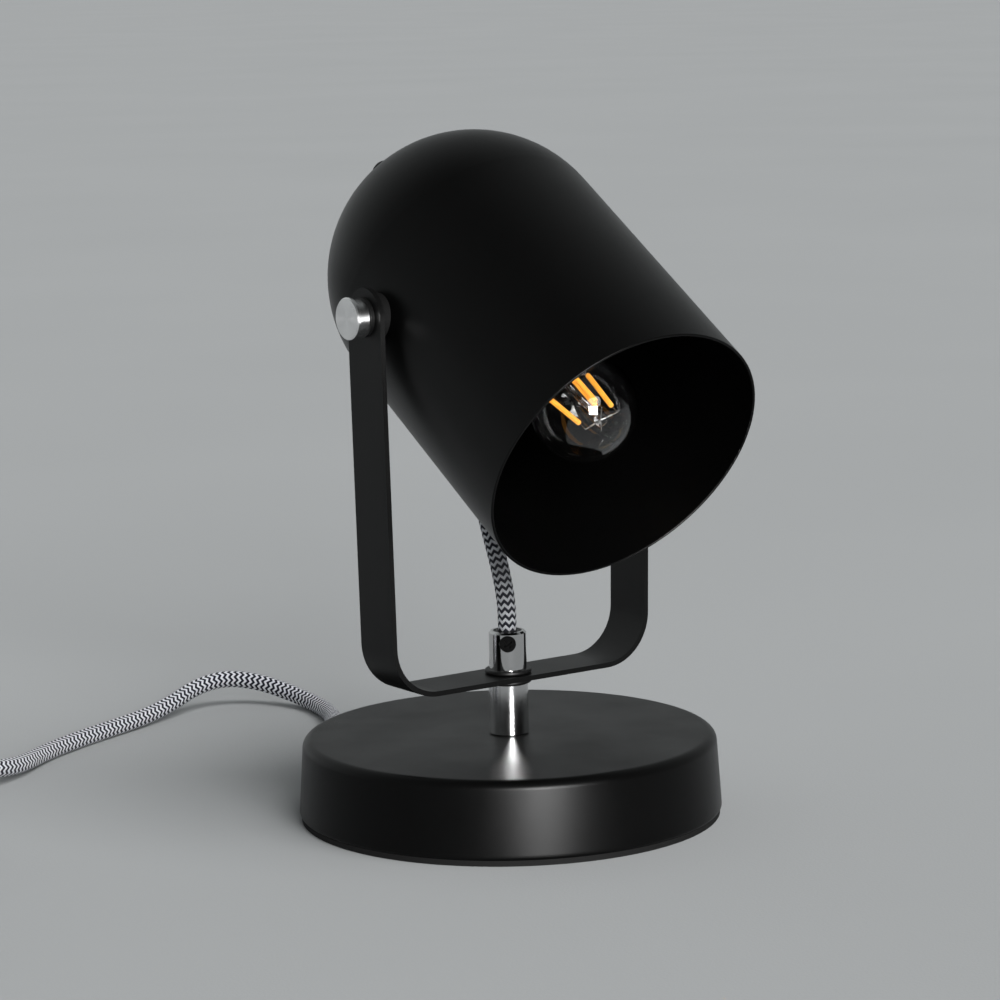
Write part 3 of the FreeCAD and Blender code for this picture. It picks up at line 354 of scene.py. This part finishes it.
SWITCH_TO_COIL = [
    (-0.2080, 0.1500, 0.00855),
    (-0.2275, 0.1500, 0.00855),
    (-0.2420, 0.1470, 0.0054),
    (-0.2555, 0.1385, 0.0036),
    (-0.2640, 0.1245, 0.00325),
    (-0.2695, 0.1090, 0.00325),
]
COIL_TO_PLUG = [
    (-0.2690, 0.0430, 0.0092),
    (-0.2650, 0.0300, 0.0076),
    (-0.2620, 0.0170, 0.00685),
    (-0.2620, 0.0040, 0.00685),
]

COIL_MIDDLE = Vector((-0.225, 0.075, 0.0))
COIL_OUTER_R = 0.045
COIL_PITCH = 0.0071
COIL_LAYER_TURNS = 2.25
COIL_CLIMB_TURNS = 0.5
COIL_POINTS_PER_TURN = 16
COIL_STRAIGHT_END = 0.004


def coil_state(turn):
    """Radius and height of the coil: it spirals in on the table, climbs a layer and spirals out again."""
    inner = COIL_OUTER_R - COIL_PITCH * COIL_LAYER_TURNS
    climbed = COIL_LAYER_TURNS + COIL_CLIMB_TURNS
    low = CORD_D / 2
    if turn <= COIL_LAYER_TURNS:
        return COIL_OUTER_R - COIL_PITCH * turn, low
    if turn >= climbed:
        return inner + COIL_PITCH * (turn - climbed), low + COIL_PITCH
    share = (turn - COIL_LAYER_TURNS) / COIL_CLIMB_TURNS
    radius = inner - COIL_PITCH * COIL_CLIMB_TURNS * share * (1 - share)
    return radius, low + COIL_PITCH * share * share * (3 - 2 * share)


def coil_route():
    """Control points of the coil's turns, a little outside them, as the spline cuts their corners."""
    turns = 2 * COIL_LAYER_TURNS + COIL_CLIMB_TURNS
    count = round(turns * COIL_POINTS_PER_TURN)
    outward = 1 / math.cos(math.pi / COIL_POINTS_PER_TURN) ** 0.5
    points = []
    for i in range(count + 1):
        turn = turns * i / count
        radius, z = coil_state(turn)
        angle = math.pi + 2 * math.pi * turn
        across = Vector((math.cos(angle), math.sin(angle), 0)) * radius * outward
        points.append(COIL_MIDDLE + across + Vector((0, 0, z)))
    return points


def plug_route():
    """From the switch through the coil to the plug."""
    turns = coil_route()
    entry = turns[0] - (turns[1] - turns[0]).normalized() * COIL_STRAIGHT_END
    leaving = turns[-1] + (turns[-1] - turns[-2]).normalized() * COIL_STRAIGHT_END
    before = [Vector(p) for p in SWITCH_TO_COIL]
    after = [Vector(p) for p in COIL_TO_PLUG]
    return before + [entry] + turns + [leaving] + after


# Braided tubes

TUBE_STEP = 0.0009
TUBE_SIDES = 28
STITCH = 0.0025
SPLINE_STEPS = 24


def spline_points(route):
    """Points along a smooth NURBS spline with the route as its control points."""
    curve = bpy.data.curves.new("route", "CURVE")
    curve.dimensions = "3D"
    curve.resolution_u = SPLINE_STEPS
    spline = curve.splines.new("NURBS")
    spline.points.add(len(route) - 1)
    for point, place in zip(spline.points, route):
        point.co = (*place, 1.0)
    spline.order_u = 3
    spline.use_endpoint_u = True
    holder = bpy.data.objects.new("route", curve)
    bpy.context.scene.collection.objects.link(holder)
    bpy.context.view_layer.update()
    mesh = bpy.data.meshes.new_from_object(holder.evaluated_get(bpy.context.evaluated_depsgraph_get()))
    points = [v.co.copy() for v in mesh.vertices]
    bpy.data.objects.remove(holder)
    bpy.data.curves.remove(curve)
    bpy.data.meshes.remove(mesh)
    return points


def respaced(points, step):
    """The same line with evenly spaced points, and its length."""
    lengths = [0.0]
    for a, b in zip(points, points[1:]):
        lengths.append(lengths[-1] + (b - a).length)
    total = lengths[-1]
    count = max(2, round(total / step))
    spaced = []
    j = 0
    for i in range(count + 1):
        target = total * i / count
        while j < len(points) - 2 and lengths[j + 1] < target:
            j += 1
        span = lengths[j + 1] - lengths[j]
        share = (target - lengths[j]) / span if span else 0.0
        spaced.append(points[j].lerp(points[j + 1], min(max(share, 0.0), 1.0)))
    return spaced, total


def tube_verts(path):
    """Rings of points round the path, carried along it without twist."""
    verts = []
    normal = Vector((1, 0, 0))
    for i, point in enumerate(path):
        before = path[max(i - 1, 0)]
        after = path[min(i + 1, len(path) - 1)]
        heading = (after - before).normalized()
        normal = (normal - heading * normal.dot(heading)).normalized()
        side = heading.cross(normal)
        for k in range(TUBE_SIDES):
            angle = 2 * math.pi * k / TUBE_SIDES
            verts.append(point + (normal * math.cos(angle) + side * math.sin(angle)) * (CORD_D / 2))
    return verts


def tube_faces(rings):
    """Four-sided faces between the rings, ring after ring, and then the two ends."""
    faces = []
    for i in range(rings - 1):
        for k in range(TUBE_SIDES):
            a = i * TUBE_SIDES + k
            b = i * TUBE_SIDES + (k + 1) % TUBE_SIDES
            faces.append((a, b, b + TUBE_SIDES, a + TUBE_SIDES))
    last = (rings - 1) * TUBE_SIDES
    faces.append(tuple(range(TUBE_SIDES - 1, -1, -1)))
    faces.append(tuple(range(last, last + TUBE_SIDES)))
    return faces


def lay_stitches(mesh, ring_stitches):
    """UVs that count stitches along the tube and turns round it."""
    uv = mesh.uv_layers.new(name="braid")
    for polygon in mesh.polygons:
        if len(polygon.vertices) > 4:
            for loop in polygon.loop_indices:
                uv.data[loop].uv = (0.0, 0.0)
            continue
        ring, k = divmod(polygon.index, TUBE_SIDES)
        corners = ((ring, k), (ring, k + 1), (ring + 1, k + 1), (ring + 1, k))
        for loop, (r, c) in zip(polygon.loop_indices, corners):
            uv.data[loop].uv = (r * ring_stitches, c / TUBE_SIDES)


def braided_tube(name, route, material):
    """Round braided cord along a route, and the points of its middle line."""
    path, total = respaced(spline_points(route), TUBE_STEP)
    mesh = bpy.data.meshes.new(name)
    mesh.from_pydata(tube_verts(path), [], tube_faces(len(path)))
    lay_stitches(mesh, total / (len(path) - 1) / STITCH)
    mesh.polygons.foreach_set("use_smooth", [len(p.vertices) == 4 for p in mesh.polygons])
    mesh.update()
    mesh.materials.append(material)
    tube = bpy.data.objects.new(name, mesh)
    bpy.context.scene.collection.objects.link(tube)
    return tube, path


def mains_flex(material):
    """From the base to the switch."""
    mains, path = braided_tube("mains_flex", [Vector(p) for p in MAINS], material)
    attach(mains, "stand")
    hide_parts("mains_cord")


def plug_flex(material):
    """From the switch through the coil to the plug."""
    tail, path = braided_tube("plug_flex", plug_route(), material)
    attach(tail, "stand")
    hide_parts("switch_cord", "cord_coil", "plug_cord")


def riser_flex(material):
    """From the grip to the shade."""
    riser, path = braided_tube("riser_flex", [Vector((0, y, z)) for y, z in RISER], material)
    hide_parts("riser_cord")
    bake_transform(riser)


def make_cords():
    material = braid()
    mains_flex(material)
    plug_flex(material)
    riser_flex(material)


# Pressed base cover, with the tight edge that the real one has. The CAD model's edge is wider.

COVER_LEAN = 0.0015
COVER_WALL = 0.0012
COVER_EDGE_R = 0.0034
COVER_LIP_R = 0.0011
COVER_INNER_LIP_R = 0.0001
COVER_SIDES = 160
EDGE_STEPS = 14
LIP_STEPS = 6
# An extra ring this far from each round keeps the shading of the face beside it flat
RING_BESIDE = 0.0008
ON_AXIS = 1e-6


def arc(centre, radius, start, end, steps):
    """Points of an arc in a half section, between two angles in degrees."""
    angles = [math.radians(start + (end - start) * i / steps) for i in range(steps + 1)]
    return [(centre[0] + radius * math.cos(a), centre[1] + radius * math.sin(a)) for a in angles]


def cover_section(foot_r, low, top, edge_r, lip_r):
    """Half section of one side of the cover, from its axis over the top and down to its lip."""
    top_r = foot_r - COVER_LEAN
    flat_r = top_r - edge_r
    slope = COVER_LEAN / (top - low)
    lean = math.degrees(math.atan(slope))
    section = [(0.0, top), (flat_r / 2, top), (flat_r - RING_BESIDE, top)]
    section += arc((flat_r, top - edge_r), edge_r, 90, lean, EDGE_STEPS)
    lip = (foot_r - lip_r, low + lip_r)
    section.append((foot_r - RING_BESIDE * slope, low + lip_r + RING_BESIDE))
    section += arc(lip, lip_r, 0, -90, LIP_STEPS)
    return section


def revolved(name, section, sides):
    """Mesh turned from a half section round Z. Points on the axis become one vertex."""
    mesh = bmesh.new()
    angles = [2 * math.pi * k / sides for k in range(sides)]
    rings = []
    for radius, z in section:
        if radius < ON_AXIS:
            rings.append([mesh.verts.new((0, 0, z))] * sides)
            continue
        rings.append([mesh.verts.new((radius * math.cos(a), radius * math.sin(a), z)) for a in angles])
    for ring, following in zip(rings, rings[1:]):
        for k in range(sides):
            around = (k + 1) % sides
            corners = [ring[k], following[k], following[around], ring[around]]
            mesh.faces.new(dict.fromkeys(corners)).smooth = True
    data = bpy.data.meshes.new(name)
    mesh.to_mesh(data)
    mesh.free()
    return data


def base_cover(material):
    low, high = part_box("base_cover")
    foot_r = (high[0] - low[0]) / 2
    outside = cover_section(foot_r, low[2], high[2], COVER_EDGE_R, COVER_LIP_R)
    inner_edge_r = COVER_EDGE_R - COVER_WALL
    inside = cover_section(foot_r - COVER_WALL, low[2], high[2] - COVER_WALL, inner_edge_r, COVER_INNER_LIP_R)
    data = revolved("cover_shell", outside + inside[::-1], COVER_SIDES)
    data.materials.append(material)
    shell = bpy.data.objects.new("cover_shell", data)
    bpy.context.scene.collection.objects.link(shell)
    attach(shell, "stand")
    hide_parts("base_cover")


# Dressing the nodes


def dress(material, *names):
    """Gives carried-over nodes a material."""
    for name in names:
        mesh = nodes[name].data
        mesh.materials.clear()
        mesh.materials.append(material)


def dress_painted():
    dress(powder_coat("shade_paint", 0.0012, 0.0026, 0.29, 0.34, 0.1, patch_scale=30, patch=0.03), "shade")
    dress(powder_coat("yoke_paint", 0.0022, 0.0044, 0.35, 0.42, 0.15), "yoke")
    base_cover(powder_coat("base_paint", 0.0012, 0.0026, 0.29, 0.36, 0.1))
    black_steel = powder_coat("black_steel", 0.001, 0.003, 0.39, 0.46, 0.1)
    dress(black_steel, "bracket_rivet_left", "bracket_rivet_right")
    dress(powder_coat("screw_black", 0.001, 0.003, 0.27, 0.34, 0.02), "grub_screw")


def dress_metal():
    dress(chrome("turned_post", rough=0.10, tone=0.6, spread=0.6), "post")
    dress(chrome("plated", rough=0.04, tone=0.55), "cord_grip")
    knobs = chrome("plated_knob", rough=0.25, tone=0.78, spread=0.75, axis="X", smears=0.03)
    dress(knobs, "knob_left", "knob_right")
    steel = plain_metal("zinc_steel", (0.58, 0.58, 0.57), 0.35)
    dress(steel, "base_plate", "plate_screw_1", "plate_screw_2", "plate_screw_3", "nipple", "hex_nut")
    dress(steel, "clamp_screw_left", "clamp_screw_right", "cord_clamp", "pivot_nut_left", "pivot_nut_right")
    dress(steel, "holder_bracket", "holder_nipple", "holder_locknut")
    cap = plain_metal("cap_metal", (0.7, 0.7, 0.68), 0.25)
    dress(cap, "bulb_cap", "bulb_wires", "plug_pin_left", "plug_pin_right")
    dress(plain_metal("brass_parts", (0.75, 0.52, 0.22), 0.3), "contact_sleeve", "cap_contact")
    dress(cast_iron(), "base_weight")


def dress_plastic():
    black = plastic("moulded_black", (0.006, 0.006, 0.006), 0.42)
    dress(black, "lower_washer", "upper_washer", "grip_bush", "knob_washer_left", "knob_washer_right")
    satin = plastic("switch_plastic", (0.011, 0.011, 0.012), 0.3)
    dress(satin, "switch_lower", "switch_upper", "switch_rocker", "plug_body")
    dress(plastic("holder_plastic", (0.014, 0.014, 0.014), 0.35), "lampholder")
    dress(plastic("cap_glass", (0.01, 0.01, 0.012), 0.2), "cap_insulator")


def dress_rubber():
    dress(rubber("pad_rubber"), "foot_pad")
    dress(rubber("grommet_rubber"), "shade_grommet", "cord_bush")
    # The spacers' fibre is blacker than the other rubber: painted shade, as they sit in the shadow between
    # the ears and the shade
    dress(rubber("spacer_fibre_painted_shade", (0.002, 0.002, 0.002)), "pivot_spacer_left", "pivot_spacer_right")
    dress(rubber("lead_jacket", (0.012, 0.012, 0.013)), "inner_lead", "head_lead")


def dress_bulb():
    dress(clear_glass(), "bulb_glass", "bulb_stem")
    dress(filament_coat_painted_glow(), "filament_1", "filament_2", "filament_3", "filament_4")


def dress_all():
    dress_painted()
    dress_metal()
    dress_plastic()
    dress_rubber()
    dress_bulb()


# Stage

FLOOR_SIZE = 30
FLOOR_MIDDLE = (6, 9, 0)


def floor():
    """Plain pale floor without gloss."""
    bpy.ops.mesh.primitive_plane_add(size=FLOOR_SIZE, location=FLOOR_MIDDLE)
    plane = bpy.context.object
    plane.name = "floor"
    g = Graph("floor_paint")
    grain = g.noise(900, detail=4.0)
    wide = g.noise(3, detail=2.0)
    tone = g.mix(wide, (0.37, 0.38, 0.385, 1), (0.396, 0.406, 0.411, 1))
    g.set(Base_Color=tone, Roughness=0.9, Specular_IOR_Level=0.0, Normal=g.bump(grain, 0.00008))
    plane.data.materials.append(g.material)


def world():
    """Pale surroundings behind and to the left of the lamp, dark ones in front of it and overhead."""
    surround = bpy.data.worlds.new("surround")
    surround.use_nodes = True
    bpy.context.scene.world = surround
    tree = surround.node_tree
    place = tree.nodes.new("ShaderNodeTexCoord")
    background = tree.nodes["Background"]
    background.inputs["Color"].default_value = (0.95, 0.995, 1.0, 1)

    def glow(heading, start, end, low, high):
        """Brightens from low to high as a direction turns towards the heading."""
        facing = tree.nodes.new("ShaderNodeVectorMath")
        facing.operation = "DOT_PRODUCT"
        facing.inputs[1].default_value = heading
        shade = tree.nodes.new("ShaderNodeMapRange")
        shade.interpolation_type = "SMOOTHSTEP"
        for name, value in (("From Min", start), ("From Max", end), ("To Min", low), ("To Max", high)):
            shade.inputs[name].default_value = value
        tree.links.new(place.outputs["Generated"], facing.inputs[0])
        tree.links.new(facing.outputs["Value"], shade.inputs["Value"])
        return shade.outputs["Result"]

    behind = glow((0.5745, 0.8185, -0.25), start=-0.35, end=0.35, low=0.03, high=0.36)
    left = glow((-0.8, 0.56, -0.2), start=-0.1, end=0.8, low=0.0, high=0.27)
    total = tree.nodes.new("ShaderNodeMath")
    tree.links.new(behind, total.inputs[0])
    tree.links.new(left, total.inputs[1])
    tree.links.new(total.outputs["Value"], background.inputs["Strength"])


def camera():
    """Camera where the perspective of the photograph puts it."""
    data = bpy.data.cameras.new("photo_camera")
    data.lens = 128.84
    data.sensor_width = 36.0
    data.clip_start = 0.05
    data.clip_end = 60.0
    eye = bpy.data.objects.new("photo_camera", data)
    place = Vector((-0.712669, -1.013629, 0.3156855))
    right = Vector((0.81677081, -0.57661646, -0.0199725))
    up = Vector((0.10943945, 0.12084581, 0.98662014))
    back = right.cross(up)
    rotation = Matrix((right, up, back)).transposed()
    eye.matrix_world = Matrix.Translation(place) @ rotation.to_4x4()
    bpy.context.scene.collection.objects.link(eye)
    bpy.context.scene.camera = eye


def add_light(kind, name, place, target, power):
    data = bpy.data.lights.new(name, kind)
    data.energy = power
    lamp = bpy.data.objects.new(name, data)
    lamp.location = place
    heading = Vector(target) - Vector(place)
    lamp.rotation_euler = heading.to_track_quat("-Z", "Y").to_euler()
    bpy.context.scene.collection.objects.link(lamp)
    return lamp


def soft_sun(name, place, power, spread):
    """Sun from the direction of a place, as wide as its spread in degrees. Nothing glossy mirrors it."""
    sun = add_light("SUN", name, place, (0, 0, 0), power)
    sun.data.angle = math.radians(spread)
    sun.visible_glossy = False


def softbox(name, place, target, size, power):
    """Rectangular light for glossy surfaces. It lights no matt ones."""
    box = add_light("AREA", name, place, target, power)
    box.data.shape = "RECTANGLE"
    box.data.size, box.data.size_y = size
    box.visible_diffuse = False


def lights():
    """A high and a low sun, both broad and in front of the lamp, and a softbox beside the camera."""
    soft_sun("key", (0.139, -0.527, 0.839), power=2.15, spread=40)
    soft_sun("fill", (-0.244, -0.895, 0.375), power=1.8, spread=30)
    softbox("strip", (-0.44, -1.36, 0.22), (0, 0, 0.1), size=(0.44, 0.42), power=60)


camera()
dress_all()
make_cords()
floor()
world()
lights()
bpy.context.scene.view_settings.view_transform = "Standard"
